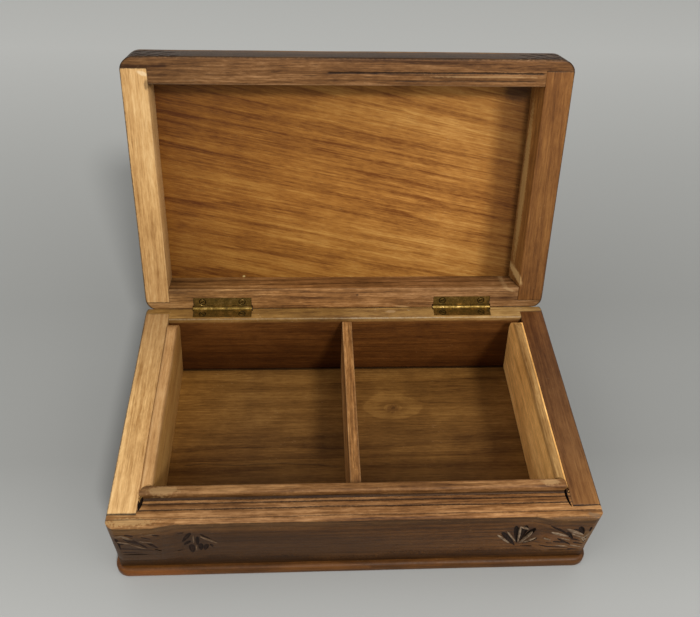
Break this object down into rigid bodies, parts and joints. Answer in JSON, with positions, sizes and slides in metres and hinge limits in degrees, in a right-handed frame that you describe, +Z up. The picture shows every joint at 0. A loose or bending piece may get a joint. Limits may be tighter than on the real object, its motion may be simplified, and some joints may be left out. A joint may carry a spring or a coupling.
{
  "type": "jewelry box",
  "caption": "Shallow hinged wooden jewelry box, shown open: moulded base plate, lap-jointed walls, an inner lip the lid closes over, a divider between compartments and brass butt hinges.",
  "frame": {"origin": "centre of the rim rectangle's footprint, on the flat underside of the base plate", "axes": "+X to the right along the front, +Y towards the hinges at the rear, +Z up"},
  "size_m": [0.2092, 0.1768, 0.1631],
  "materials": {
    "dark_wood": "dark stained, satin lacquer",
    "mid_wood": "red-brown stained, satin",
    "tan_wood": "oiled, satin",
    "light_wood": "oiled, satin",
    "panel_wood": "oiled, satin",
    "brass": "tarnished"
  },
  "bodies": {
    "box": {"base_plate": "dark_wood", "front_wall": "dark_wood", "rear_wall": "tan_wood", "left_wall": "light_wood", "right_wall": "mid_wood", "front_liner": "mid_wood", "left_liner": "light_wood", "right_liner": "light_wood", "divider": "tan_wood", "base_hinge_screws": "brass", "left_hinge_base_leaf": "brass", "right_hinge_base_leaf": "brass", "left_hinge_pin": "brass", "right_hinge_pin": "brass"},
    "lid": {"lid_front_rail": "tan_wood", "lid_rear_rail": "tan_wood", "lid_left_rail": "light_wood", "lid_right_rail": "mid_wood", "lid_top_board": "panel_wood", "left_hinge_lid_leaf": "brass", "right_hinge_lid_leaf": "brass", "lid_hinge_screws": "brass"}
  },
  "joints": [
    {"name": "lid_hinge", "type": "hinge", "parent": "box", "child": "lid", "pos_m": [0, 0.0615, 0.04378], "axis": [1, 0, 0], "range_deg": [0, 106.8]}
  ]
}
